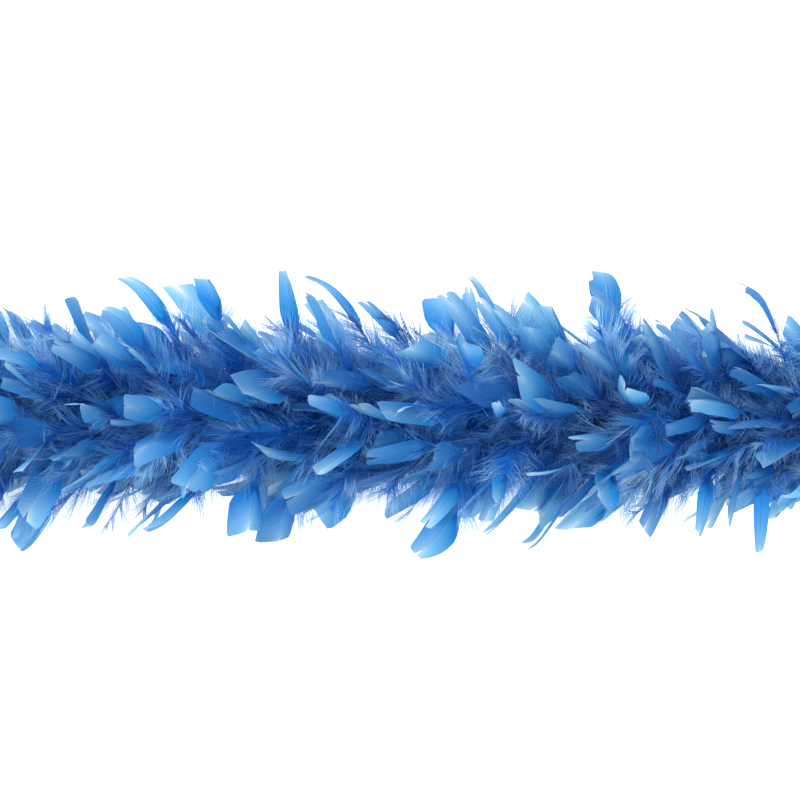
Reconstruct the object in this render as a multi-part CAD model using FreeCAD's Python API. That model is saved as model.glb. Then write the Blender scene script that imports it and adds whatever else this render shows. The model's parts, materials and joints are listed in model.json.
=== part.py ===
import FreeCAD, Part
import math
import os

# Feather boa, laid out straight on a flat surface. All sizes are in millimetres.
# X runs along the boa and Z is up. The origin lies under the middle of the boa, on the
# surface that the feathers rest on. Every feather is rooted in the cord and leans to -X.
#
# The real cord is one continuous, limp piece. It is cut here into equal stretches, and
# neighbouring stretches turn about a point on the cord's centre line.

# Overall sizes
FEATHERED_LENGTH = 1830.0   # from the first bound feather to the last
STRETCHES = 11              # an odd number, so one stretch lies in the middle
AXIS_HEIGHT = 50.0          # centre of the cord above the surface
PLUME_RADIUS = 72.0         # the full body of feathers, without stray tips
PLUME_WALL = 2.0            # the plumes are packed to a springy skin of this depth
PLUME_BORE = 5.5            # clear way for the bound cord through each plume body
SHOULDER = 9.0              # bevel between a plume body's belt and its ends

# Bending: each end of a stretch is cut back to a cone, so that its neighbour can turn
BEND_LIMIT = 60.0           # degrees each way at every joint
BEND_SPARE = 1.5            # degrees more at each end, so that neighbours stay apart
CONE_SETBACK = 0.4          # gap from the joint's centre to each cone's point

# Cord and the thread that binds the feathers to it
CORD_RADIUS = 2.5
PLY_GAP = 0.1               # between the cord's two plies, which are modelled untwisted
CORD_TAIL = 16.0            # bare cord beyond the last feather, at each end
THREAD_CLEARANCE = 0.05
THREAD_RADIUS = 3.0
THREAD_SETBACK = 5.0        # the binding stops short of each joint
WHIPPING_RADIUS = 3.4
WHIPPING_LENGTH = 11.0
WHIPPING_GAP = 3.5          # from the last feather to the whipping

# Quills, one for about every ten feathers
QUILLS = 18                 # in one stretch
QUILL_LENGTH = 48.0
QUILL_ROOT_RADIUS = 0.9
QUILL_TIP_RADIUS = 0.3
QUILL_LEAN = 62.0           # degrees between the quill and the cord
QUILL_FIRST = 56.0          # from the -X end of a stretch to its first quill
QUILL_LAST = 10.0           # from the last quill to the +X end of the stretch
QUILL_GAP = 0.15            # between the binding and the foot of a quill
GOLDEN_ANGLE = 137.508      # degrees from one quill to the next round the cord

# Hanging loops, tied into a knot at each end
KNOT_RADIUS = 5.0
LOOP_DIAMETER = 2.0
# one side of the loop, as (across, down) from the centre of the knot
LOOP_SIDE = [(1.3, 5.4), (6.0, 14.0), (9.5, 24.0), (8.0, 33.0)]
LOOP_FOOT = (0.0, 38.0)
ARC_SHARE = 0.45            # share of the shorter run that each rounded corner takes

PITCH = FEATHERED_LENGTH / STRETCHES
CONE_ANGLE = BEND_LIMIT / 2 + BEND_SPARE
CONE_SLOPE = math.tan(math.radians(CONE_ANGLE))
X_AXIS = FreeCAD.Vector(1, 0, 0)


def turned(outline):
    """A solid turned about the X axis from (along, radius) points."""
    corners = [FreeCAD.Vector(along, 0, radius) for along, radius in outline]
    wire = Part.makePolygon(corners + corners[:1])
    return Part.Face(wire).revolve(FreeCAD.Vector(0, 0, 0), X_AXIS, 360)


def tube(inner, outer, start, length):
    """A round sleeve about the X axis."""
    foot = FreeCAD.Vector(start, 0, 0)
    sleeve = Part.makeCylinder(outer, length, foot, X_AXIS)
    return sleeve.cut(Part.makeCylinder(inner, length, foot, X_AXIS))


def above(solid, height):
    """What is left of a solid about the X axis above a level, measured from the surface."""
    size = 2 * PITCH
    corner = FreeCAD.Vector(-size / 2, -size / 2, height - AXIS_HEIGHT)
    return solid.common(Part.makeBox(size, size, size, corner))


def barrel(radius, half_length, shoulder):
    """A drum with coned ends and bevelled shoulders."""
    belt = half_length - radius * CONE_SLOPE - shoulder * (1 - CONE_SLOPE)
    cone_top = half_length - (radius - shoulder) * CONE_SLOPE
    return turned([
        (-half_length, 0), (-cone_top, radius - shoulder), (-belt, radius),
        (belt, radius), (cone_top, radius - shoulder), (half_length, 0),
    ])


def plume_body():
    """The mass of feathers on one stretch: a hollow, springy body with a flat underside."""
    half_length = PITCH / 2 - CONE_SETBACK
    slant_wall = PLUME_WALL / math.cos(math.radians(CONE_ANGLE))
    skin = above(barrel(PLUME_RADIUS, half_length, SHOULDER), 0)
    inside = above(
        barrel(PLUME_RADIUS - PLUME_WALL, half_length - slant_wall, SHOULDER), PLUME_WALL)
    way = Part.makeCylinder(PLUME_BORE, PITCH, FreeCAD.Vector(-PITCH / 2, 0, 0), X_AXIS)
    return skin.cut(inside).cut(way)


def cord(tail_before, tail_after):
    """Both plies of one stretch, coned at each joint, with a blunt tail at an end of the boa."""
    half_length = PITCH / 2 - CONE_SETBACK
    shoulder = half_length - CORD_RADIUS * CONE_SLOPE
    start = [(-half_length, 0), (-shoulder, CORD_RADIUS)]
    end = [(shoulder, CORD_RADIUS), (half_length, 0)]
    if tail_before:
        start = [(-PITCH / 2 - tail_before, 0), (-PITCH / 2 - tail_before, CORD_RADIUS)]
    if tail_after:
        end = [(PITCH / 2 + tail_after, CORD_RADIUS), (PITCH / 2 + tail_after, 0)]
    corner = FreeCAD.Vector(-PITCH, -PITCH, -PLY_GAP / 2)
    return turned(start + end).cut(Part.makeBox(2 * PITCH, 2 * PITCH, PLY_GAP, corner))


def binding():
    """The thread wound over one stretch of cord, which holds the feathers' quills."""
    start = -PITCH / 2 + THREAD_SETBACK
    return tube(CORD_RADIUS + THREAD_CLEARANCE, THREAD_RADIUS, start, -2 * start)


def quills():
    """Bare quills that stand out from the binding, turned round the cord one by one."""
    spacing = (PITCH - QUILL_FIRST - QUILL_LAST) / (QUILLS - 1)
    lean = math.radians(QUILL_LEAN)
    foot_height = THREAD_RADIUS + QUILL_GAP + QUILL_ROOT_RADIUS * math.cos(lean)
    shafts = []
    for number in range(QUILLS):
        along = -PITCH / 2 + QUILL_FIRST + number * spacing
        foot = FreeCAD.Vector(along, 0, foot_height)
        direction = FreeCAD.Vector(-math.cos(lean), 0, math.sin(lean))
        shaft = Part.makeCone(
            QUILL_ROOT_RADIUS, QUILL_TIP_RADIUS, QUILL_LENGTH, foot, direction)
        shaft.rotate(FreeCAD.Vector(0, 0, 0), X_AXIS, number * GOLDEN_ANGLE)
        shafts.append(shaft)
    return Part.makeCompound(shafts)


def whipping(side):
    """Thread wound round the cord's tail; side is 1 at the +X end and -1 at the -X end."""
    near = FEATHERED_LENGTH / 2 + WHIPPING_GAP
    start = near if side > 0 else -near - WHIPPING_LENGTH
    return tube(CORD_RADIUS + THREAD_CLEARANCE, WHIPPING_RADIUS, start, WHIPPING_LENGTH)


def tail_end():
    """Distance from the middle of the boa to the end of the cord's tail."""
    return FEATHERED_LENGTH / 2 + CORD_TAIL


def knot_centre():
    """Distance from the middle of the boa to the centre of each knot."""
    return tail_end() + math.sqrt(KNOT_RADIUS ** 2 - CORD_RADIUS ** 2)


def knot(side):
    """A round knot with a flat where it meets the tail."""
    ball = Part.makeSphere(KNOT_RADIUS, FreeCAD.Vector(side * knot_centre(), 0, 0))
    width = 2 * KNOT_RADIUS
    start = tail_end() if side > 0 else -tail_end() - 2 * width
    corner = FreeCAD.Vector(start, -width, -width)
    return ball.common(Part.makeBox(2 * width, 2 * width, 2 * width, corner))


def rounded_path(points):
    """Straight runs through the points, joined by the largest tangent arcs that fit."""
    edges = []
    start = points[0]
    radii = []
    for before, corner, after in zip(points, points[1:], points[2:]):
        arriving = corner - before
        leaving = after - corner
        reach = ARC_SHARE * min(arriving.Length, leaving.Length)
        half_turn = arriving.getAngle(leaving) / 2
        radius = reach / math.tan(half_turn)
        arriving.normalize()
        leaving.normalize()
        arc_start = corner - arriving * reach
        arc_end = corner + leaving * reach
        inward = leaving - arriving
        inward.normalize()
        middle = corner + inward * (radius / math.cos(half_turn) - radius)
        edges.append(Part.LineSegment(start, arc_start).toShape())
        edges.append(Part.Arc(arc_start, middle, arc_end).toShape())
        start = arc_end
        radii.append(radius)
    edges.append(Part.LineSegment(start, points[-1]).toShape())
    return Part.Wire(edges), radii


def loop(side):
    """The cord loop that hangs from a knot, in a plane across the boa."""
    x = side * knot_centre()
    left = [FreeCAD.Vector(x, -across, -down) for across, down in LOOP_SIDE]
    right = [FreeCAD.Vector(x, across, -down) for across, down in reversed(LOOP_SIDE)]
    foot = FreeCAD.Vector(x, LOOP_FOOT[0], -LOOP_FOOT[1])
    points = left + [foot] + right
    path, radii = rounded_path(points)
    circle = Part.Circle(points[0], points[1] - points[0], LOOP_DIAMETER / 2)
    section = Part.Wire([circle.toShape()])
    solid = path.makePipeShell([section], True, False)
    expected = math.pi * LOOP_DIAMETER ** 2 / 4 * path.Length
    print("loop length", round(path.Length, 1), "radii", [round(r, 1) for r in radii],
          "volume ratio", round(solid.Volume / expected, 3))
    return solid


def write(shape, node, along=0.0):
    """Lifts a shape from the X axis to the cord's height and writes its STEP file."""
    shape.translate(FreeCAD.Vector(along, 0, AXIS_HEIGHT))
    shape.exportStep(f"parts/{node}.step")
    print(node, "solids", len(shape.Solids), "valid", shape.isValid(),
          "cm3", round(shape.Volume / 1000, 2))


os.makedirs("parts", exist_ok=True)

for number in range(1, STRETCHES + 1):
    centre = (number - (STRETCHES + 1) / 2) * PITCH
    tail_before = CORD_TAIL if number == 1 else 0
    tail_after = CORD_TAIL if number == STRETCHES else 0
    write(cord(tail_before, tail_after), f"cord_{number:02d}", centre)
    write(binding(), f"binding_thread_{number:02d}", centre)
    write(quills(), f"quills_{number:02d}", centre)
    write(plume_body(), f"feathers_{number:02d}", centre)

for name, side in (("left", -1), ("right", 1)):
    write(whipping(side), f"end_whipping_{name}")
    write(knot(side), f"end_knot_{name}")
    write(loop(side), f"hanging_loop_{name}")
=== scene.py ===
# %% [markdown]
# # A full feather boa, feather by feather
# A boa is a limp cord with well over a thousand feathers bound into it. Each feather has fluffy
# down near its root and a firm, satin vane at its tip. In this lesson the whole boa is grown
# from those pieces, around a frame that already knows the cord, its joints and its ends.
# First the frame is loaded. All sizes are in metres, X runs along the boa and Z is up.

# %% Load the frame
import json
import math

import bpy
import numpy as np
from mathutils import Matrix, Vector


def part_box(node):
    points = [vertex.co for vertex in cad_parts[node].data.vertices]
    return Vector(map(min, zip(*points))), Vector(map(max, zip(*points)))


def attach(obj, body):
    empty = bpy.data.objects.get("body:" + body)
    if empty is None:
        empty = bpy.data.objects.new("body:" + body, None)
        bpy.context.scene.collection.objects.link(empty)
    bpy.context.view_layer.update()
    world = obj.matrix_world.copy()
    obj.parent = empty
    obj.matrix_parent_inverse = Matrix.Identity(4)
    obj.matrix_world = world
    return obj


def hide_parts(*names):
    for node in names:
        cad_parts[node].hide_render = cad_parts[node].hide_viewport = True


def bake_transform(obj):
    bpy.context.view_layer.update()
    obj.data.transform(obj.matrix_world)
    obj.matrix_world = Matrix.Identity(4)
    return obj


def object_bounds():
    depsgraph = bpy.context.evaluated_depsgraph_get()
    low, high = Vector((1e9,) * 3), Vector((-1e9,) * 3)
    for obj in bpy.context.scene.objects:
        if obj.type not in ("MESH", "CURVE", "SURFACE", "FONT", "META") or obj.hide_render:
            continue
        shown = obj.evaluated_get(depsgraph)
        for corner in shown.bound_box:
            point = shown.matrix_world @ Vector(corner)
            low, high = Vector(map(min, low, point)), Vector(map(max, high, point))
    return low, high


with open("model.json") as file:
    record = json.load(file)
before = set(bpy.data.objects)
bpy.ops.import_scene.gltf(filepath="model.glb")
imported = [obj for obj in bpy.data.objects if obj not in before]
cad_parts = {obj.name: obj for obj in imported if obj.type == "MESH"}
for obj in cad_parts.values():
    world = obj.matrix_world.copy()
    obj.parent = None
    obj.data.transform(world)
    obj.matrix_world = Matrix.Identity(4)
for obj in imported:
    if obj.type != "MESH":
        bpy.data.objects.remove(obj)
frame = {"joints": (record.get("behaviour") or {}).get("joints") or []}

cad_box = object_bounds()

# %% [markdown]
# ## Where things are
# Nothing is placed by eye. The cord's height, the places where it bends and the ends of its
# tails all come from the frame. The boa is divided into patches: one round every bend, and a
# half patch at each end, which rides on the last stretch.

# %% Read the cord's height, its bends and its ends
MM = 0.001
bends = sorted((j for j in frame["joints"] if j["name"].startswith("bend")),
               key=lambda joint: joint["pos_m"][0])
bend_places = [joint["pos_m"][0] for joint in bends]
cord_height = bends[0]["pos_m"][2]
pitch = bend_places[1] - bend_places[0]
half_length = bend_places[-1] + pitch
last_stretch = len(bends) + 1
plume_radius = (cad_box[1].y - cad_box[0].y) / 2
print("cord is", round(cord_height / MM), "mm up; bends are", round(pitch / MM, 1), "mm apart")


def patches():
    """(number, start, end) of each patch of feathers along the boa."""
    edges = [-half_length] + [place - pitch / 2 for place in bend_places] + \
            [bend_places[-1] + pitch / 2, half_length]
    return [(number, start, end) for number, (start, end) in enumerate(zip(edges, edges[1:]))]


print(len(patches()), "patches")

# %% [markdown]
# ## The camera
# The boa lies straight on a table and is seen from right above, so the camera looks straight
# down. A long lens from further off shows nearly true outlines, as a drawing does. The picture
# takes in about a quarter of the boa's length, so its two ends are out of view.

# %% Hang the camera over the middle of the boa
VIEW_WIDTH = 0.452       # how much of the boa's length is in view, at the cord's height
LENS = 100.0             # focal length in millimetres
VIEW_SHIFT = 0.0085      # the boa lies a little below the middle of the picture

camera = bpy.data.objects.new("camera", bpy.data.cameras.new("camera"))
bpy.context.scene.collection.objects.link(camera)
bpy.context.scene.camera = camera
camera.data.lens = LENS
distance = VIEW_WIDTH * LENS / camera.data.sensor_width
camera.location = (0, VIEW_SHIFT, cord_height + distance)
print("camera hangs", round(distance, 2), "m over the cord")

# %% [markdown]
# ## Materials from nodes
# A dyed feather is one colour of dye on two kinds of stuff. The vane is a flat web of barbs
# locked side by side, so it is smooth, satin and lightly ribbed, and thin enough for light to
# shine through. The down is loose and matt, and looks darker where it is dense. Both let light
# through, so each mixes a Principled shader with a Translucent one.
#
# The helpers below link nodes with one short call and paint the colour: a ramp between shades,
# driven by values stored on the mesh. `tone` is the feather's own shade of dye, and `rise` is
# how far up the feather a point is. Painting by stored values keeps the colours in place when
# the boa bends.

# %% Helpers for node materials
def new_material(name):
    """An empty node material, and a function that adds nodes to it and links them."""
    material = bpy.data.materials.new(name)
    material.use_nodes = True
    tree = material.node_tree
    tree.nodes.clear()

    def add(kind, settings=None, **inputs):
        node = tree.nodes.new("ShaderNode" + kind)
        for key, value in (settings or {}).items():
            setattr(node, key, value)
        for key, value in inputs.items():
            socket = node.inputs[int(key[1:]) if key[1:].isdigit() else key.replace("_", " ")]
            if isinstance(value, bpy.types.NodeSocket):
                tree.links.new(value, socket)
            else:
                socket.default_value = value
        return node

    return material, add


def ramp(add, factor, *stops):
    """A colour ramp through (place, colour) stops."""
    node = add("ValToRGB", i0=factor)
    band = node.color_ramp
    while len(band.elements) < len(stops):
        band.elements.new(0.5)
    for element, (place, colour) in zip(band.elements, stops):
        element.position = place
        element.color = (*colour, 1)
    return node.outputs["Color"]


def stored(add, name):
    """A value stored on the mesh."""
    return add("Attribute", {"attribute_name": name}).outputs["Fac"]


def multiply_add(add, value, factor, addend):
    """value times factor plus addend."""
    return add("Math", {"operation": "MULTIPLY_ADD"}, i0=value, i1=factor, i2=addend).outputs[0]


GLOW_PLACES = (0.25, 0.75, 1.0)    # shares of the rise from a feather's root to its tip


def thin_shader(add, colour, bump, through, glow, **surface):
    """A surface that shows its colour in front light and glows when lit from behind.

    It lets more and paler light through towards the thin tips: through is the share of that
    light at the root and at the tip, and glow is its colour at the root, near the tip and at it.
    """
    at_root, at_tip = through
    rise = stored(add, "rise")
    share = multiply_add(add, rise, at_tip - at_root, at_root)
    front = add("BsdfPrincipled", Base_Color=colour, Normal=bump, **surface)
    paler = ramp(add, rise, *zip(GLOW_PLACES, glow))
    back = add("BsdfTranslucent", Color=paler, Normal=bump)
    mixed = add("MixShader", i0=share, i1=front.outputs[0], i2=back.outputs[0])
    add("OutputMaterial", Surface=mixed.outputs[0])


# %% [markdown]
# ### Satin vane
# The web of a vane shines softly, because its barbs lie side by side like the threads of satin.
# The ribs could be modelled one by one, but they are finer than a millimetre, so a noise that is
# stretched across the web makes them, in the colour and in a slight bump. Each feather took the
# dye a little differently, which its stored tone adds.

# %% Make the satin vane
DYE_SHEEN = (0.25, 0.60, 1.0, 1)
# each shade stands at its place on the ramp, from dark to light
VANE_SHADES = ((0.10, (0.006, 0.080, 0.300)),
               (0.45, (0.012, 0.150, 0.430)),
               (0.85, (0.022, 0.210, 0.480)))
VANE_GLOW = (0.02, 0.32, 0.72), (0.34, 0.66, 0.80), (0.72, 0.86, 0.90)
VANE_THROUGH = (0.30, 0.62)
BARB_WIDTH = 0.9 * MM
RIB_LENGTH = 25 * MM     # how far a rib runs before it changes
RIB_SHARE = 0.45         # how much a rib changes the shade
RISE_SHARE = 0.20        # how much lighter the tip is painted, as painted light


def vane_material():
    """Ribs across the web, each feather's own shade, painted light towards the tip, a satin sheen.
    """
    material, add = new_material("satin_vane")
    places = add("UVMap").outputs["UV"]
    ribs = add("Mapping", Vector=places, Scale=(1 / RIB_LENGTH, 1 / BARB_WIDTH, 1.0))
    rib = add("TexNoise", Vector=ribs.outputs[0], Scale=1.0, Detail=2.0, Roughness=0.6)
    shade = multiply_add(add, rib.outputs[0], RIB_SHARE, stored(add, "tone"))
    # painted light: the web is made lighter towards its tip, which stands out of the boa's shade
    shade = multiply_add(add, stored(add, "rise"), RISE_SHARE, shade)
    colour = ramp(add, shade, *VANE_SHADES)
    bump = add("Bump", Strength=0.35, Distance=0.2 * MM, Height=rib.outputs[0])
    thin_shader(add, colour, bump.outputs[0], VANE_THROUGH, VANE_GLOW, Roughness=0.55,
                Specular_IOR_Level=0.18, Sheen_Weight=0.10, Sheen_Roughness=0.4,
                Sheen_Tint=DYE_SHEEN)
    return material


satin_vane = vane_material()
print(satin_vane.name, "has", len(satin_vane.node_tree.nodes), "nodes")

# %% [markdown]
# ### Fluffy down
# Down is the same dyed stuff in loose, fine barbs. It has no web to shine, so it is matt, and it
# is so fine that most of the light at its tips comes through it. A cloudy noise breaks up the
# colour from tuft to tuft.

# %% Make the fluffy down
DOWN_SHADES = ((0.15, (0.004, 0.052, 0.265)),
               (0.6, (0.008, 0.195, 0.650)),
               (1.0, (0.028, 0.350, 0.760)))
DOWN_GLOW = (0.008, 0.205, 0.660), (0.44, 0.72, 0.84), (0.88, 0.93, 0.94)
DOWN_THROUGH = (0.42, 0.90)
TUFT_SIZE = 1 / 60       # metres from one cloud of colour to the next
CLOUD_SHARE = 0.4        # how much the clouds change the shade
TIP_SHARE = 0.4          # how much lighter the tips are: painted shade at the roots


def down_material():
    """Loose barbs: painted shade darkens them at the root, deep in the boa; lighter towards the
    tips.
    """
    material, add = new_material("fluffy_down")
    places = add("TexCoord").outputs["Object"]
    cloud = add("TexNoise", Vector=places, Scale=1 / TUFT_SIZE, Detail=2.0, Roughness=0.5)
    shade = multiply_add(add, cloud.outputs[0], CLOUD_SHARE, stored(add, "tone"))
    # painted shade: the down is made darker at its root, deep in the boa, and lighter at its tips
    shade = multiply_add(add, stored(add, "rise"), TIP_SHARE, shade)
    colour = ramp(add, shade, *DOWN_SHADES)
    grain = add("Bump", Strength=0.2, Distance=0.1 * MM, Height=cloud.outputs[0])
    thin_shader(add, colour, grain.outputs[0], DOWN_THROUGH, DOWN_GLOW, Roughness=0.85,
                Specular_IOR_Level=0.08, Sheen_Weight=0.12, Sheen_Roughness=0.6,
                Sheen_Tint=DYE_SHEEN)
    return material


fluffy_down = down_material()
print(fluffy_down.name, "has", len(fluffy_down.node_tree.nodes), "nodes")

# %% [markdown]
# ### Dyed quill
# The shaft is horn, like a fingernail. It takes the dye in streaks and is a little glossier than
# the web. One Principled shader with a noisy colour is enough for a rod so thin.

# %% Make the dyed quill
QUILL_SHADES = ((0.3, (0.006, 0.080, 0.300)),
                (0.7, (0.020, 0.180, 0.480)))
STREAK_SIZE = 1 / 240    # metres from one streak to the next


def quill_material():
    """Slightly glossy horn with streaks of dye."""
    material, add = new_material("dyed_quill")
    places = add("TexCoord").outputs["Object"]
    streak = add("TexNoise", Vector=places, Scale=1 / STREAK_SIZE, Detail=1.0)
    colour = ramp(add, streak.outputs[0], *QUILL_SHADES)
    horn = add("BsdfPrincipled", Base_Color=colour, Roughness=0.42, Specular_IOR_Level=0.3)
    add("OutputMaterial", Surface=horn.outputs[0])
    return material


dyed_quill = quill_material()
print(dyed_quill.name, "has", len(dyed_quill.node_tree.nodes), "nodes")

# %% [markdown]
# ### Cotton cord and thread
# The cord and the thread are spun cotton, dyed like the feathers and painted darker as painted
# shade, because they lie deep inside. Both are one recipe at two sizes: a fine noise for the
# fibres, a bump from the same noise, and a tinted sheen for the fuzz.

# %% Make the cotton cord and the binding thread
CORD_FIBRE = 0.6 * MM
# the cord's blue dye, made darker as painted shade for lying deep inside the boa
CORD_DYES_AND_SHADE = (0.005, 0.045, 0.210), (0.016, 0.120, 0.420)
THREAD_FIBRE = 0.3 * MM
# the thread's dye, made darker as painted shade for lying deep inside the boa
THREAD_DYES_AND_SHADE = (0.003, 0.035, 0.170), (0.012, 0.095, 0.340)
DYE_PLACES = (0.35, 0.7)


def twine_material(name, fibre_size, dyes_and_shade):
    """Spun cotton: fine fibres, a little fuzz in the sheen, and two dyes darkened as painted
    shade.
    """
    material, add = new_material(name)
    places = add("TexCoord").outputs["Object"]
    fibre = add("TexNoise", Vector=places, Scale=1 / fibre_size, Detail=4.0, Roughness=0.7)
    colour = ramp(add, fibre.outputs[0], *zip(DYE_PLACES, dyes_and_shade))
    bump = add("Bump", Strength=0.6, Distance=0.2 * MM, Height=fibre.outputs[0])
    cotton = add("BsdfPrincipled", Base_Color=colour, Normal=bump.outputs[0], Roughness=0.9,
                 Specular_IOR_Level=0.2, Sheen_Weight=0.3, Sheen_Roughness=0.5,
                 Sheen_Tint=DYE_SHEEN)
    add("OutputMaterial", Surface=cotton.outputs[0])
    return material


cotton_cord = twine_material("cotton_cord", CORD_FIBRE, CORD_DYES_AND_SHADE)
binding_thread = twine_material("binding_thread", THREAD_FIBRE, THREAD_DYES_AND_SHADE)
print("now there are", len(bpy.data.materials), "materials")

# %% [markdown]
# ## The hanging loops
# At each end the cord is tied in a knot that holds a small loop, to hang the boa up by. The
# loop is a short, limp cord. It could be a bent tube, but a smooth curve through a few points
# hangs more naturally: out of the knot, down under its own weight and back up. It starts and
# ends inside the knot, so that no gap opens when the loop swings.

# %% Points of a loop, and a smooth curve through them
LOOP_DIAMETER = 2.0 * MM
# one side of the loop, as (across, down) from the centre of the knot
LOOP_SIDE = [(1.3, 4.2), (6.0, 14.0), (9.5, 24.0), (8.0, 33.0)]
LOOP_FOOT = (0.0, 38.0)
CURVE_STEPS = 16         # from one point to the next
BEVEL_STEPS = 4          # round each quarter of the cord
print("a loop hangs", LOOP_FOOT[1], "mm below the middle of its knot")


def smooth_curve(name, points, radius, material):
    """A round cord along a NURBS curve, which starts at the first point and ends at the last."""
    data = bpy.data.curves.new(name, "CURVE")
    data.dimensions = "3D"
    data.resolution_u = CURVE_STEPS
    data.bevel_depth = radius
    data.bevel_resolution = BEVEL_STEPS
    data.use_fill_caps = True
    spline = data.splines.new("NURBS")
    spline.points.add(len(points) - 1)
    for point, place in zip(spline.points, points):
        point.co = (*place, 1)
    spline.order_u = 3
    spline.use_endpoint_u = True
    data.materials.append(material)
    piece = bpy.data.objects.new(name, data)
    bpy.context.scene.collection.objects.link(piece)
    return piece


def curve_points(piece):
    """Points along a curve's own line, as the evaluated curve gives them."""
    bare = piece.copy()
    bare.data = piece.data.copy()
    bare.data.bevel_depth = 0
    mesh = bpy.data.meshes.new_from_object(bare)
    places = np.array([vertex.co for vertex in mesh.vertices])
    bpy.data.objects.remove(bare)
    return places


# %% Hang a loop from each knot
knot_x = {}
for side in ("left", "right"):
    swing = next(j for j in frame["joints"] if j["name"] == f"loop_swing_{side}")
    knot_x[side] = swing["pos_m"][0]
    outline = LOOP_SIDE + [LOOP_FOOT] + [(-across, down) for across, down in reversed(LOOP_SIDE)]
    route = [(knot_x[side], -across * MM, cord_height - down * MM) for across, down in outline]
    loop = smooth_curve(f"end_loop_{side}", route, LOOP_DIAMETER / 2, cotton_cord)
    walk = curve_points(loop)
    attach(loop, f"loop_{side}")
    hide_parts(f"hanging_loop_{side}")

# %% [markdown]
# ## How one feather is shaped
# A feather is grown along its shaft. The shaft leaves the cord almost square to it, then sweeps
# over towards the boa's left end. Adding up short steps in a slowly turning direction gives
# that curve. All the feathers of a patch are worked out together as arrays, one row each,
# because over a thousand feathers one at a time would be slow.
#
# Feathers that point down can't go through the table. They are pressed: the further down a
# point would be, the more it is held back, so the underside is dense and nearly flat.

# %% Draw each feather's own measures
FEATHERS_PER_PITCH = 175       # from one bend to the next
GOLDEN_ANGLE = math.radians(137.508)
ROUND_SPREAD = 0.25            # radians that a root strays from its place round the cord
LENGTHS = (54, 84)             # millimetres
FLUFFY_LENGTH = 0.88           # fluffy feathers are this much shorter
STRAY_LENGTH = 1.22            # and stray ones this much longer
ROOT_LEANS = (8, 34)           # degrees from square to the cord, at the root
TIP_LEAN = (62, 22)            # the same at the tip: mean and spread
STRAY_LEANS = (0, 46)          # the same at the tip of a stray feather
SWIRL_SPREAD = 0.46            # how far a feather sweeps round the cord
ROLL_SPREAD = 0.8              # radians that a web is turned about its shaft
TWIST_SPREAD = 0.9             # radians more by the tip
HALF_WIDTHS = (4.2, 9.0)       # millimetres: the narrowest web, and what the widest has more
WIDTH_POWER = 1.3              # above 1, narrow webs are the more common ones
VANE_STARTS = (0.46, 0.64)     # share of the length where the web begins
TONES = (-0.18, 0.28)          # what each feather's own shade adds on the colour ramps
VANED_SHARE = 0.70             # the other feathers are fluffy to the tip
STRAY_SHARE = 0.13             # vaned feathers that stand out from the boa
FIRST_SEED = 300
print("one feather to every", round(pitch / MM / FEATHERS_PER_PITCH, 2), "mm of cord")


def draw_feathers(number, start, end):
    """Length, lean, roll and shade of each feather in a patch."""
    rng = np.random.default_rng(FIRST_SEED + number)
    count = round(FEATHERS_PER_PITCH * (end - start) / pitch)
    order = np.arange(count)
    feathers = {
        "root": start + (order + rng.random(count)) * (end - start) / count,
        "angle": (order + number * FEATHERS_PER_PITCH) * GOLDEN_ANGLE
        + rng.normal(0, ROUND_SPREAD, count),
        "vaned": rng.random(count) < VANED_SHARE,
        "length": rng.uniform(*LENGTHS, count) * MM,
        "lean_root": np.radians(rng.uniform(*ROOT_LEANS, count)),
        "lean_tip": np.radians(rng.normal(*TIP_LEAN, count)),
        "swirl": rng.normal(0, SWIRL_SPREAD, count),
        "roll": rng.normal(0, ROLL_SPREAD, count),
        "twist": rng.normal(0, TWIST_SPREAD, count),
        "half_width": (HALF_WIDTHS[0] + HALF_WIDTHS[1] * rng.random(count) ** WIDTH_POWER) * MM,
        "vane_start": rng.uniform(*VANE_STARTS, count),
        "tone": rng.uniform(*TONES, count),
    }
    stray = feathers["vaned"] & (rng.random(count) < STRAY_SHARE)
    stray_lean = np.radians(rng.uniform(*STRAY_LEANS, count))
    feathers["lean_tip"] = np.where(stray, stray_lean, feathers["lean_tip"])
    feathers["length"] *= np.where(stray, STRAY_LENGTH, 1.0)
    feathers["length"] *= np.where(feathers["vaned"], 1.0, FLUFFY_LENGTH)
    return feathers, rng


# %% Helpers that keep feathers off the table and within reach
TINY = 1e-9                    # keeps a division from meeting a zero
FLOOR_GAP = 1.2 * MM           # how far off the table the lowest feathers stay
CALM_RADIUS = plume_radius - 8 * MM    # tips are drawn in from here
TIP_RADIUS = plume_radius + 12 * MM    # and never reach this
print("no tip is more than", round(TIP_RADIUS / MM), "mm from the middle of the cord")


def unit(vectors):
    """Vectors scaled to length one."""
    return vectors / np.maximum(np.linalg.norm(vectors, axis=-1, keepdims=True), TINY)


def pressed(points):
    """Points held back where they near the table."""
    places = points.copy()
    room = cord_height - FLOOR_GAP
    height = places[..., 2] - cord_height
    below = np.minimum(height, 0)
    places[..., 2] = cord_height + np.where(height < 0, room * np.tanh(below / room), height)
    return places


def trimmed(points):
    """Points drawn in where they would reach past the longest tips, and kept off the table."""
    across, height = points[..., 1], points[..., 2] - cord_height
    radius = np.maximum(np.hypot(across, height), TINY)
    span = TIP_RADIUS - CALM_RADIUS
    past = np.maximum(radius - CALM_RADIUS, 0)
    share = np.minimum(radius, CALM_RADIUS + span * np.tanh(past / span)) / radius
    level = np.maximum(cord_height + height * share, FLOOR_GAP)
    return np.stack([points[..., 0], across * share, level], axis=-1)


# %% Grow the shafts
ROOT_RADIUS = 2.6 * MM
SHAFT_STEPS = 24
LEAN_POWER = 0.8               # below 1, a feather leans over early


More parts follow.
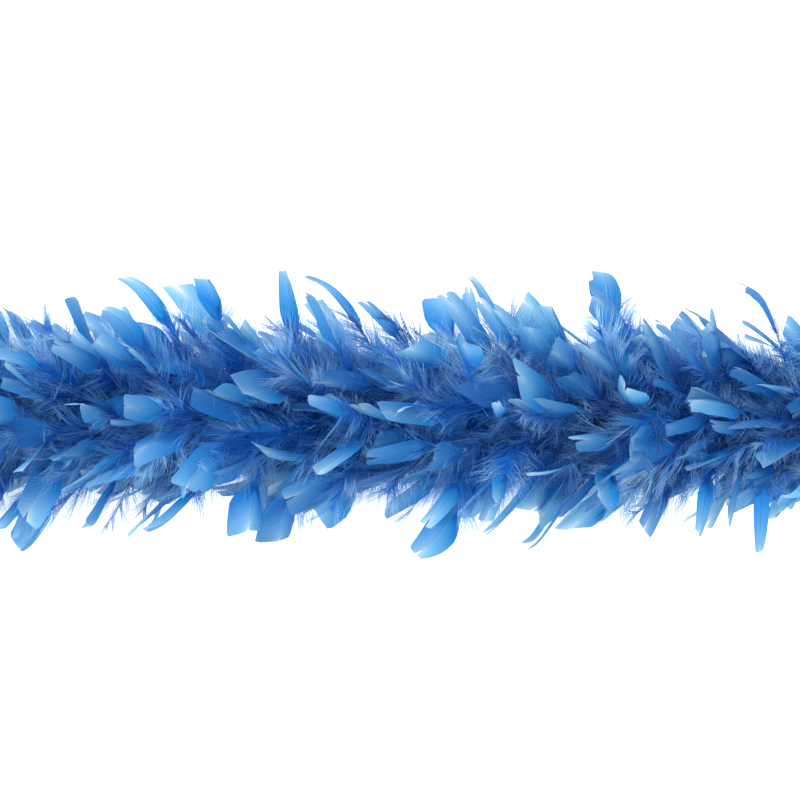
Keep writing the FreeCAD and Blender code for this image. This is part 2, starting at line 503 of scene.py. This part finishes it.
def grow_shafts(feathers):
    """Points, directions, sides and faces along every shaft, each as (feather, step, xyz)."""
    count = len(feathers["root"])
    share = np.linspace(0, 1, SHAFT_STEPS)
    angle = feathers["angle"][:, None]
    outward = np.stack([0 * angle, np.cos(angle), np.sin(angle)], axis=-1)
    around = np.stack([0 * angle, -np.sin(angle), np.cos(angle)], axis=-1)
    along = np.array([-1.0, 0.0, 0.0])
    change = (feathers["lean_tip"] - feathers["lean_root"])[:, None]
    lean = (feathers["lean_root"][:, None] + change * share ** LEAN_POWER)[..., None]
    heading = np.cos(lean) * outward + np.sin(lean) * along
    heading = unit(heading + (feathers["swirl"][:, None] * share)[..., None] * around)
    step = (feathers["length"] / (SHAFT_STEPS - 1))[:, None, None]
    walked = np.cumsum(heading * step, axis=1) - heading * step
    root = np.stack([feathers["root"], np.zeros(count), np.full(count, cord_height)], axis=-1)
    points = pressed(root[:, None] + ROOT_RADIUS * outward + walked)
    heading = unit(np.gradient(points, axis=1))
    roll = (feathers["roll"][:, None] + feathers["twist"][:, None] * share)[..., None]
    level = unit(np.cross(heading, outward + 0 * heading))
    upright = np.cross(level, heading)
    side = np.cos(roll) * level + np.sin(roll) * upright
    face = np.cross(side, heading)
    return {"points": points, "heading": heading, "side": side, "face": face}


print("a shaft is worked out at", SHAFT_STEPS, "places")

# %% [markdown]
# ## From arrays to a mesh
# Each part of a feather is a small grid of points, so one helper turns a block of grids into
# one mesh, with the stored values that the materials read.

# %% A helper that makes one mesh from many grids
def grid_faces(count, rows, columns, wrap=False):
    """Corner numbers of the four-sided faces of count grids of rows by columns points."""
    row = np.arange(rows - 1)[:, None]
    column = np.arange(columns if wrap else columns - 1)[None, :]
    after = (column + 1) % columns
    corners = np.stack([row * columns + column, row * columns + after,
                        (row + 1) * columns + after, (row + 1) * columns + column], axis=-1)
    first = np.arange(count)[:, None, None] * rows * columns
    return (corners.reshape(1, -1, 4) + first).reshape(-1, 4)


def mesh_piece(name, points, faces, material, values=None, places=None):
    """A mesh object from points and four-sided faces, with stored values and UV places."""
    mesh = bpy.data.meshes.new(name)
    mesh.vertices.add(len(points))
    mesh.vertices.foreach_set("co", points.astype(np.float32).ravel())
    mesh.loops.add(faces.size)
    mesh.loops.foreach_set("vertex_index", faces.astype(np.int32).ravel())
    mesh.polygons.add(len(faces))
    mesh.polygons.foreach_set("loop_start", np.arange(0, faces.size, 4, dtype=np.int32))
    mesh.polygons.foreach_set("use_smooth", np.ones(len(faces), dtype=bool))
    mesh.update(calc_edges=True)
    for key, value in (values or {}).items():
        mesh.attributes.new(key, "FLOAT", "POINT").data.foreach_set(
            "value", value.astype(np.float32).ravel())
    if places is not None:
        layer = mesh.uv_layers.new(name="UVMap")
        layer.data.foreach_set("uv", places[faces.ravel()].astype(np.float32).ravel())
    mesh.materials.append(material)
    piece = bpy.data.objects.new(name, mesh)
    bpy.context.scene.collection.objects.link(piece)
    return piece


print("a grid of 3 by 3 points has", len(grid_faces(1, 3, 3)), "faces")

# %% [markdown]
# ## The vane
# The web of a vane is made of barbs that leave the shaft at a slant and point towards the tip.
# So each row of the grid runs along a barb. The outer ends of the barbs draw the vane's edge.
# On these broad, clipped feathers the tip is cut off straight at a random slant, and the web is
# often split into clumps, which gives the angular blades that make a boa look crisp.

# %% A helper that finds places on every shaft
def at_share(values, share):
    """Values along the shafts at shares from 0, the root, to 1, the tip: (feather, place, xyz)."""
    place = np.clip(share, 0, 1) * (SHAFT_STEPS - 1)
    low = np.minimum(place.astype(int), SHAFT_STEPS - 2)
    rest = (place - low)[..., None]
    before = np.take_along_axis(values, low[..., None], axis=1)
    after = np.take_along_axis(values, low[..., None] + 1, axis=1)
    return before * (1 - rest) + after * rest


two_rows = at_share(np.arange(2.0 * SHAFT_STEPS).reshape(2, -1, 1), np.full((2, 1), 0.5))
print("half way up two shafts of", SHAFT_STEPS, "numbered places:", two_rows.ravel())

# %% The outline of a web
BARB_ROWS = 14
ROOT_SLANT = 50            # degrees between a barb and the shaft where the web begins
SLANT_LOSS = 44            # and how much less at the tip
SLANT_POWER = 1.5
SLANT_SPREAD = (-3, 5)     # what a feather's own slant adds, in degrees
SWELL_START = 0.40         # width where the web begins, as a share of the full width
SWELL_RATE = 3.2           # full widths gained per length of vane, until it is full
TIP_NARROWING = 0.35       # share of the width that is lost by the tip
SIDE_SHARES = (0.65, 1.1)  # each side's own width, so the two sides of a shaft differ
LEAST_SPREAD = 0.15        # keeps a cut that is nearly in line with the barbs from running away
SHORTEST_BARB = 0.5 * MM
SPLIT_SHARE = 0.3          # webs that are parted into two clumps
FIRST_SPLIT = 4            # row of barbs
SPLIT_STEPS = (0.7, 0.9)   # how long the barbs beyond the parting are


def vane_edge(feathers, rng, sign):
    """Length and slant of the barbs on one side of every vane."""
    count = len(feathers["root"])
    up = np.linspace(0, 1, BARB_ROWS)[None, :]
    own_slant = rng.uniform(*SLANT_SPREAD, (count, 1))
    slant = np.radians(ROOT_SLANT - SLANT_LOSS * up ** SLANT_POWER + own_slant)
    swell = np.clip(SWELL_START + SWELL_RATE * up, 0, 1) * (1 - TIP_NARROWING * up ** 2)
    side_share = rng.uniform(*SIDE_SHARES, (count, 1))
    full = feathers["half_width"][:, None] * side_share * swell / np.sin(slant)
    vane_length = (feathers["length"] * (1 - feathers["vane_start"]))[:, None]
    cut_slope = sign * feathers["cut_slope"][:, None]
    spare = vane_length * (1 + feathers["cut_spare"][:, None] - up)
    cut = spare / np.maximum(np.cos(slant) + cut_slope * np.sin(slant), LEAST_SPREAD)
    split = rng.integers(FIRST_SPLIT, BARB_ROWS, (count, 1))
    parted = rng.random((count, 1)) < SPLIT_SHARE
    apart = np.where(parted, rng.uniform(*SPLIT_STEPS, (count, 1)), 1)
    step = np.where(np.arange(BARB_ROWS)[None, :] > split, apart, 1.0)
    return np.minimum(full * step, np.maximum(cut, SHORTEST_BARB)), slant


print("a web has", BARB_ROWS, "rows, each along a barb")

# %% Grow the vanes
BARB_COLUMNS = 4
CUT_SLOPES = (-0.9, 0.9)   # how far the cut runs along the shaft for each step across it
CUT_SPARES = (0.02, 0.22)  # how far past the shaft's end the cut crosses, as a share of the vane
CUP = (0.16, 0.16)         # how much a web is hollowed: mean and spread
print("each web is a grid of", BARB_ROWS, "by", BARB_COLUMNS, "points")


def grow_vanes(name, feathers, shafts, rng):
    """Both webs of every feather in a patch."""
    count = len(feathers["root"])
    feathers["cut_slope"] = rng.uniform(*CUT_SLOPES, count)
    feathers["cut_spare"] = rng.uniform(*CUT_SPARES, count)
    feathers["cup"] = rng.normal(*CUP, count)
    up = np.linspace(0, 1, BARB_ROWS)[None, :]
    share = feathers["vane_start"][:, None] + (1 - feathers["vane_start"][:, None]) * up
    foot = at_share(shafts["points"], share)
    heading = at_share(shafts["heading"], share)
    side = at_share(shafts["side"], share)
    face = at_share(shafts["face"], share)
    blocks, places, rises = [], [], []
    out = np.linspace(0, 1, BARB_COLUMNS)[None, None, :, None]
    for sign in (1, -1):
        reach, slant = vane_edge(feathers, rng, sign)
        reach, slant = reach[..., None], slant[..., None]
        direction = np.cos(slant) * heading + sign * np.sin(slant) * side
        bend = feathers["cup"][:, None, None] * reach * face
        web = foot[:, :, None] + out * (reach * direction)[:, :, None]
        blocks.append(web - out ** 2 * bend[:, :, None])
        across = np.broadcast_to(sign * out * reach[:, :, None], web.shape[:3] + (1,))
        rise_along = np.broadcast_to(
            (share * feathers["length"][:, None])[:, :, None, None], across.shape)
        places.append(np.concatenate([across, rise_along], axis=-1))
        rises.append(np.broadcast_to(up[:, :, None], web.shape[:3]))
    points = np.concatenate(blocks).reshape(-1, 3)
    faces = grid_faces(2 * count, BARB_ROWS, BARB_COLUMNS)
    tone = np.tile(np.repeat(feathers["tone"], BARB_ROWS * BARB_COLUMNS), 2)
    return mesh_piece(name, trimmed(points), faces, satin_vane,
                      {"tone": tone, "rise": np.concatenate(rises).ravel()},
                      np.concatenate(places).reshape(-1, 2))


# %% [markdown]
# ## The down
# Below the vane the barbs don't lock together. They are long, soft and wavy, and stand out all
# round the shaft, which is what fills a boa out. Each barb is a narrow ribbon that tapers to a
# hair. Real down has finer hairs again on each barb; at arm's length these only blur its edges,
# so they are left out.

# %% A helper for tufts
DRIFT_WAVES = 8        # the finest wave goes up and down this many times along the down


def drift(rng, place, strength):
    """A smooth random drift along each feather, so that neighbouring barbs keep together."""
    waves = np.arange(1, DRIFT_WAVES + 1)
    size = (len(place), 1, len(waves))
    swing = rng.normal(0, strength, size) / math.sqrt(len(waves) / 2)
    turn = 2 * math.pi * (waves * place[..., None] + rng.random(size))
    return (swing * np.sin(turn)).sum(axis=-1)


# %% Where the loose barbs stand, and which way they point
DOWN_BARBS = 228
DOWN_START = 0.07           # share of the shaft that is bare
DOWN_OVERLAP = 0.08         # share of the shaft where the down runs up under the web
WEB_OFFSET = 0.4            # keeps the tufts of the two sides out of step
LOOSE_TIP = 0.10            # radians that barbs stray from their side, near the web
LOOSE_ROOT = 1.0            # and how much more near the root
TURN_DRIFT = 0.42           # radians that whole tufts stray
OPENINGS = (38, 60)         # degrees between a barb and the shaft
OPENING_LOSS = 14           # and how much less at the top of the down
OPENING_DRIFT = 9           # degrees that tufts differ
OPENING_SPREAD = 2.5        # and that single barbs differ
print("each feather has", DOWN_BARBS, "loose barbs")


def stand_barbs(feathers, shafts, rng):
    """Place, foot and direction of every loose barb of a patch."""
    count = len(feathers["root"])
    size = (count, DOWN_BARBS)
    top = np.where(feathers["vaned"], feathers["vane_start"] + DOWN_OVERLAP, 1.0)[:, None]
    number = np.arange(DOWN_BARBS)[None, :]
    order = (number + rng.random(size)) / DOWN_BARBS
    share = DOWN_START + order * (top - DOWN_START)
    foot, heading, side, face = (
        at_share(shafts[key], share) for key in ("points", "heading", "side", "face"))
    web = number % 2
    place = order + WEB_OFFSET * web
    loose = LOOSE_TIP + LOOSE_ROOT * (1 - order) ** 3
    turn = web * math.pi + drift(rng, place, TURN_DRIFT) + loose * rng.normal(0, 1, size)
    turn = turn[..., None]
    spread = np.cos(turn) * side + np.sin(turn) * face
    opening = rng.uniform(*OPENINGS, (count, 1)) - OPENING_LOSS * order
    opening = opening + drift(rng, place, OPENING_DRIFT) + rng.normal(0, OPENING_SPREAD, size)
    slant = np.radians(opening)[..., None]
    direction = np.cos(slant) * heading + np.sin(slant) * spread
    return {"order": order, "share": share, "place": place, "foot": foot,
            "heading": heading, "face": face, "direction": direction}


# %% How long the loose barbs are, and how they curl
LONGEST_BARBS = (17, 27)    # millimetres, one value for each feather
BARB_SPREAD = (0.82, 1.08)  # each barb's own share of that
MEAN_DRIFTED = 0.92         # mean share of a tuft
LENGTH_DRIFT = 0.09         # and how much tufts differ
LEAST_FULLNESS = 0.55
ARCH_RISE = 0.45
ARCH_START = 0.15           # of an arch from 0 to 1, where the down begins
ARCH_SPAN = 0.73            # and how much of it the down covers
ARCH_POWER = 0.8
SWAY_DRIFT = 0.13           # how much tufts curl
CURL_SPREAD = 0.15          # and a whole feather's barbs
BARB_CURL = 0.05            # and each barb by itself
TIP_SWEEP = 0.22            # how much the barbs sweep on towards the tip


def fullness(order):
    """How long the barbs are along the shaft: shorter at both ends of the down."""
    arch = np.sin(math.pi * (ARCH_START + ARCH_SPAN * order)) ** ARCH_POWER
    return LEAST_FULLNESS + ARCH_RISE * arch


def shape_barbs(barbs, rng):
    """Length and curl of every loose barb."""
    order, place = barbs["order"], barbs["place"]
    count = len(order)
    longest = rng.uniform(*LONGEST_BARBS, (count, 1))
    longest = longest * (MEAN_DRIFTED + drift(rng, place, LENGTH_DRIFT))
    reach = (longest * rng.uniform(*BARB_SPREAD, order.shape) * fullness(order) * MM)[..., None]
    sway = np.stack([drift(rng, place, SWAY_DRIFT) for axis in "xyz"], axis=-1)
    curl = rng.normal(0, CURL_SPREAD, (count, 1, 3)) + sway
    curl = curl + rng.normal(0, BARB_CURL, order.shape + (3,)) + TIP_SWEEP * barbs["heading"]
    return reach, curl


three_places = np.array([0, 0.5, 1])
print("fullness of the down at its foot, middle and top:", np.round(fullness(three_places), 2))

# %% Grow the down
DOWN_ROWS = 3
BARB_FOOT = 0.23 * MM       # half the width of a barb where it leaves the shaft
ROOT_WIDENING = 1.8         # barbs near the root are wider by up to this share
BARB_TAPER = 0.92           # share of the width that is lost by the barb's tip
FLAT_SPREAD = 0.25          # how unevenly the ribbons face
ROOT_RISE = 0.45            # how much of a barb's rise comes from its place on the shaft
print("a barb near the web is", 2 * BARB_FOOT / MM, "mm wide where it leaves the shaft")


def grow_down(name, feathers, shafts, rng):
    """Loose barbs: on the lower part of a vaned shaft, and up to the tip of a fluffy one."""
    barbs = stand_barbs(feathers, shafts, rng)
    reach, curl = shape_barbs(barbs, rng)
    order, direction = barbs["order"], barbs["direction"]
    tilt = rng.normal(0, FLAT_SPREAD, order.shape + (3,))
    flat = unit(np.cross(direction, barbs["face"] + tilt))
    out = np.linspace(0, 1, DOWN_ROWS)[None, None, :, None]
    line = barbs["foot"][:, :, None] + reach[:, :, None] * (out * direction[:, :, None]
                                                            + out ** 2 * curl[:, :, None])
    widening = (1 + ROOT_WIDENING * (1 - order) ** 3)[:, :, None, None]
    width = BARB_FOOT * widening * (1 - BARB_TAPER * out)
    points = np.stack([line - width * flat[:, :, None], line + width * flat[:, :, None]], axis=3)
    faces = grid_faces(order.size, DOWN_ROWS, 2)
    tone = np.broadcast_to(feathers["tone"][:, None, None, None], points.shape[:4])
    rise = ROOT_RISE * barbs["share"][:, :, None, None] + (1 - ROOT_RISE) * out
    rise = np.broadcast_to(rise, points.shape[:4])
    return mesh_piece(name, trimmed(points.reshape(-1, 3)), faces, fluffy_down,
                      {"tone": tone, "rise": rise})


# %% [markdown]
# ## The shaft
# The shaft itself is a thin rod that tapers from the bound root to a hair under the tip. Three
# sides are enough at this thickness.

# %% Grow the quills
QUILL_SIDES = 3
QUILL_ROWS = 12
QUILL_ROOT = 0.75 * MM
QUILL_TIP = 0.07 * MM
QUILL_TAPER = 0.4         # below 1, most of the taper is near the root
VANED_TOP = 0.96          # share of the length where a vaned feather's shaft ends
FLUFFY_TOP = 0.84         # and a fluffy one's
print("quills taper from", QUILL_ROOT / MM, "to", QUILL_TIP / MM, "mm in radius")


def grow_quills(name, feathers, shafts):
    """A tapering rod along every shaft."""
    count = len(feathers["root"])
    top = np.where(feathers["vaned"], VANED_TOP, FLUFFY_TOP)[:, None]
    share = top * np.linspace(0, 1, QUILL_ROWS)[None, :]
    foot = at_share(shafts["points"], share)
    side = at_share(shafts["side"], share)
    face = at_share(shafts["face"], share)
    turn = (np.arange(QUILL_SIDES) / QUILL_SIDES * 2 * math.pi)[None, None, :, None]
    taper = share ** QUILL_TAPER
    radius = (QUILL_ROOT + (QUILL_TIP - QUILL_ROOT) * taper)[:, :, None, None]
    points = foot[:, :, None] + radius * (np.cos(turn) * side[:, :, None]
                                          + np.sin(turn) * face[:, :, None])
    faces = grid_faces(count, QUILL_ROWS, QUILL_SIDES, wrap=True)
    return mesh_piece(name, trimmed(points.reshape(-1, 3)), faces, dyed_quill)


# %% [markdown]
# ## Every patch of feathers
# Now the patches are grown one after another. A patch round a bend is fixed in place where it
# is grown. The half patches at the ends ride on the last stretches.

# %% Let a piece follow the cord
def follow_cord(piece, number):
    """Rides an end patch's piece on its last stretch, or fixes any other piece where it stands."""
    if number in (0, last_stretch):
        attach(piece, f"stretch_{max(number, 1):02d}")
        return
    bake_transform(piece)


def stood_for(kind, number):
    """The frame's nodes of one kind that a patch stands for: those of the stretches it covers."""
    covered = sorted({max(number, 1), min(number + 1, last_stretch)})
    return [f"{kind}_{stretch:02d}" for stretch in covered]


def chosen(values, keep):
    """The rows of every array that are kept."""
    return {key: value[keep] for key, value in values.items()}


print("patches 1 to", len(bends), "are blended across their bends")

# %% Grow and fix all the patches
for number, start, end in patches():
    feathers, rng = draw_feathers(number, start, end)
    shafts = grow_shafts(feathers)
    vaned = feathers["vaned"]
    vanes = grow_vanes(f"vanes_{number:02d}", chosen(feathers, vaned), chosen(shafts, vaned), rng)
    for kind, slot, piece in (
            ("feathers", "feather", vanes),
            ("feathers", "feather", grow_down(f"down_{number:02d}", feathers, shafts, rng)),
            ("quills", "quill", grow_quills(f"shafts_{number:02d}", feathers, shafts))):
        follow_cord(piece, number)
        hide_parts(*stood_for(kind, number))
        print(piece.name, "has", len(piece.data.polygons), "faces")
    print("patch", number, "has", len(vaned), "feathers,", vaned.sum(), "of them with a vane")

# %% [markdown]
# ## The cord and its binding
# The cord is two plies of cotton twisted together, and a fine thread winds round it to hold the
# quills. Both are tubes swept along a helix. They are built here as grids as well: a ring of
# points is carried along the helix, and each ring is a row of the grid.

# %% A tube along any line, and a helix for it to follow
NEARLY_UP = np.array([0.013, 0.021, 1.0])    # tilted, so that it is never in line with a tube
POINT_RADIUS = 1e-6            # the ends of a tube are closed to this
FEWEST_STEPS = 8


def swept_tube(name, line, radius, sides, material):
    """A round tube that follows a line of points and is closed at both ends."""
    heading = unit(np.gradient(line, axis=0))
    level = unit(np.cross(heading, NEARLY_UP))
    upright = np.cross(level, heading)
    place = np.concatenate([[0], np.arange(len(line)), [len(line) - 1]])
    wide = np.full((len(place), 1, 1), radius)
    wide[[0, -1]] = POINT_RADIUS
    turn = (np.arange(sides) / sides * 2 * math.pi)[None, :, None]
    points = line[place, None] + wide * (np.cos(turn) * level[place, None]
                                         + np.sin(turn) * upright[place, None])
    faces = grid_faces(1, len(place), sides, wrap=True)
    return mesh_piece(name, points.reshape(-1, 3), faces, material)


def helix(start, end, radius, turn_length, points_per_turn, phase=0.0):
    """Points of a helix round the cord's centre line."""
    turns = abs(end - start) / turn_length
    share = np.linspace(0, 1, max(int(turns * points_per_turn), FEWEST_STEPS))
    angle = phase + share * turns * 2 * math.pi
    return np.stack([start + (end - start) * share, radius * np.cos(angle),
                     cord_height + radius * np.sin(angle)], axis=-1)


print("one turn of a helix in 8 points is an array of", helix(0, 1, 1, 1, 8).shape)

# %% Twist the plies and wind the thread
PLY_RADIUS = 1.25 * MM
PLY_OFFSET = 1.2 * MM      # from the cord's centre to a ply's: under its radius, so plies touch
PLY_TURN = 9.0 * MM        # along the cord
PLY_STEPS = 14             # in each turn
PLY_SIDES = 8
THREAD_RADIUS = 0.22 * MM
THREAD_TURN = 2.4 * MM
THREAD_STEPS = 10
THREAD_SIDES = 5
KNOT_OVERLAP = 1.5 * MM    # how far short of the middle of a knot the plies end


def tail(side):
    """Where the cord's tail ends, inside a knot."""
    return knot_x[side] * (1 - KNOT_OVERLAP / abs(knot_x[side]))


for number, start, end in patches():
    cord_start = tail("left") if number == 0 else start
    cord_end = tail("right") if number == last_stretch else end
    twist = (cord_start + half_length) / PLY_TURN * 2 * math.pi
    wind = (start + half_length) / THREAD_TURN * 2 * math.pi
    pieces = []
    for ply in (0, 1):
        line = helix(cord_start, cord_end, PLY_OFFSET, PLY_TURN, PLY_STEPS, twist + ply * math.pi)
        pieces.append(("cord", "cord", swept_tube(
            f"cord_ply_{'ab'[ply]}_{number:02d}", line, PLY_RADIUS, PLY_SIDES, cotton_cord)))
    wound_radius = PLY_OFFSET + PLY_RADIUS + THREAD_RADIUS
    line = helix(start, end, wound_radius, THREAD_TURN, THREAD_STEPS, wind)
    pieces.append(("binding_thread", "thread", swept_tube(
        f"thread_winding_{number:02d}", line, THREAD_RADIUS, THREAD_SIDES, binding_thread)))
    for kind, slot, piece in pieces:
        follow_cord(piece, number)
        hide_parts(*stood_for(kind, number))
print("cord twisted with a turn every", round(PLY_TURN / MM), "mm")

# %% [markdown]
# ## Whippings and knots
# Close to each end the tail is whipped: a thread is wound round it, turn beside turn. Then it is
# tied in an overhand knot. A trefoil curve is a good stand-in for such a knot: a line that
# passes over and under itself three times.

# %% Whip and knot both tails
WHIPPING_TURN = 0.62 * MM
WHIPPING_THREAD = WHIPPING_TURN * 0.52    # radius: a little over half, so that turns touch
WHIPPING_STEPS = 16
WHIPPING_SIDES = 6
KNOT_SIZE = 1.55 * MM
KNOT_DEPTH = 1.6           # along the boa, in knot sizes
KNOT_LOBES = 0.75          # below 1, the lobes are drawn in and the knot is tighter
KNOT_STEPS = 97
KNOT_STRAND = 1.7 * MM     # radius
KNOT_SIDES = 10


def trefoil(centre, size):
    """Points of a closed trefoil knot that faces along the boa."""
    share = np.linspace(0, 2 * math.pi, KNOT_STEPS)
    return centre + size * np.stack([
        -KNOT_DEPTH * np.sin(3 * share),
        np.sin(share) + 2 * np.sin(2 * share) * KNOT_LOBES,
        np.cos(share) - 2 * np.cos(2 * share) * KNOT_LOBES], axis=-1)


for side, body in (("left", "stretch_01"), ("right", f"stretch_{last_stretch:02d}")):
    low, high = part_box(f"end_whipping_{side}")
    whipping_radius = (high.z - low.z) / 2 - WHIPPING_TURN / 2
    line = helix(low.x, high.x, whipping_radius, WHIPPING_TURN, WHIPPING_STEPS)
    winding = swept_tube(f"whipping_{side}", line, WHIPPING_THREAD, WHIPPING_SIDES, binding_thread)
    centre = np.array([knot_x[side], 0, cord_height])
    knot = swept_tube(
        f"knot_{side}", trefoil(centre, KNOT_SIZE), KNOT_STRAND, KNOT_SIDES, cotton_cord)
    for piece, node, slot in ((winding, f"end_whipping_{side}", "thread"),
                              (knot, f"end_knot_{side}", "cord")):
        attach(piece, body)
        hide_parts(node)
        print(piece.name, len(piece.data.polygons), "faces")

# %% [markdown]
# ## Table, light and air
# The boa lies on a plain white table. Two large soft lights hang over it, one to either side, and
# the air round it is bright. The table sends light back up, so that the thin feathers at the rim
# are lit from behind as well.

# %% Lay the table
FLOOR_SIZE = 40.0        # so large that its edge is out of every view
TABLE_GLOW = 0.45        # a weak light of its own keeps the table white under the boa
TABLE_WHITE = (0.92, 0.92, 0.92, 1)
floor_mesh = bpy.data.meshes.new("table_top")
half = FLOOR_SIZE / 2
floor_mesh.from_pydata([(-half, -half, 0), (half, -half, 0), (half, half, 0), (-half, half, 0)],
                       [], [(0, 1, 2, 3)])
floor = bpy.data.objects.new("table_top", floor_mesh)
bpy.context.scene.collection.objects.link(floor)
table_white, add = new_material("table_white")
lit = add("Emission", Color=(1, 1, 1, 1), Strength=TABLE_GLOW)
matt = add("BsdfDiffuse", Color=TABLE_WHITE)
both = add("AddShader", i0=lit.outputs[0], i1=matt.outputs[0])
add("OutputMaterial", Surface=both.outputs[0])
floor_mesh.materials.append(table_white)
print(floor.name, "is", FLOOR_SIZE, "m wide")

# %% Set the lights and the air
AIR_STRENGTH = 1.0
world = bpy.data.worlds.new("bright_air")
bpy.context.scene.world = world
world.use_nodes = True
air = world.node_tree.nodes["Background"]
air.inputs["Color"].default_value = (1, 1, 1, 1)
air.inputs["Strength"].default_value = AIR_STRENGTH


def soft_light(name, place, size, power):
    """A large square light that faces the middle of the boa."""
    light = bpy.data.lights.new(name, "AREA")
    light.size = size
    light.energy = power
    lamp = bpy.data.objects.new(name, light)
    lamp.location = place
    aim = -lamp.location.copy()
    lamp.rotation_mode = "QUATERNION"
    lamp.rotation_quaternion = aim.to_track_quat("-Z", "Y")
    bpy.context.scene.collection.objects.link(lamp)


soft_light("key_light", place=(-0.9, 1.2, 2.0), size=1.6, power=60)
soft_light("fill_light", place=(1.2, -1.2, 1.8), size=1.8, power=30)
bpy.context.scene.view_settings.view_transform = "Standard"
print("table, air and two lights set")
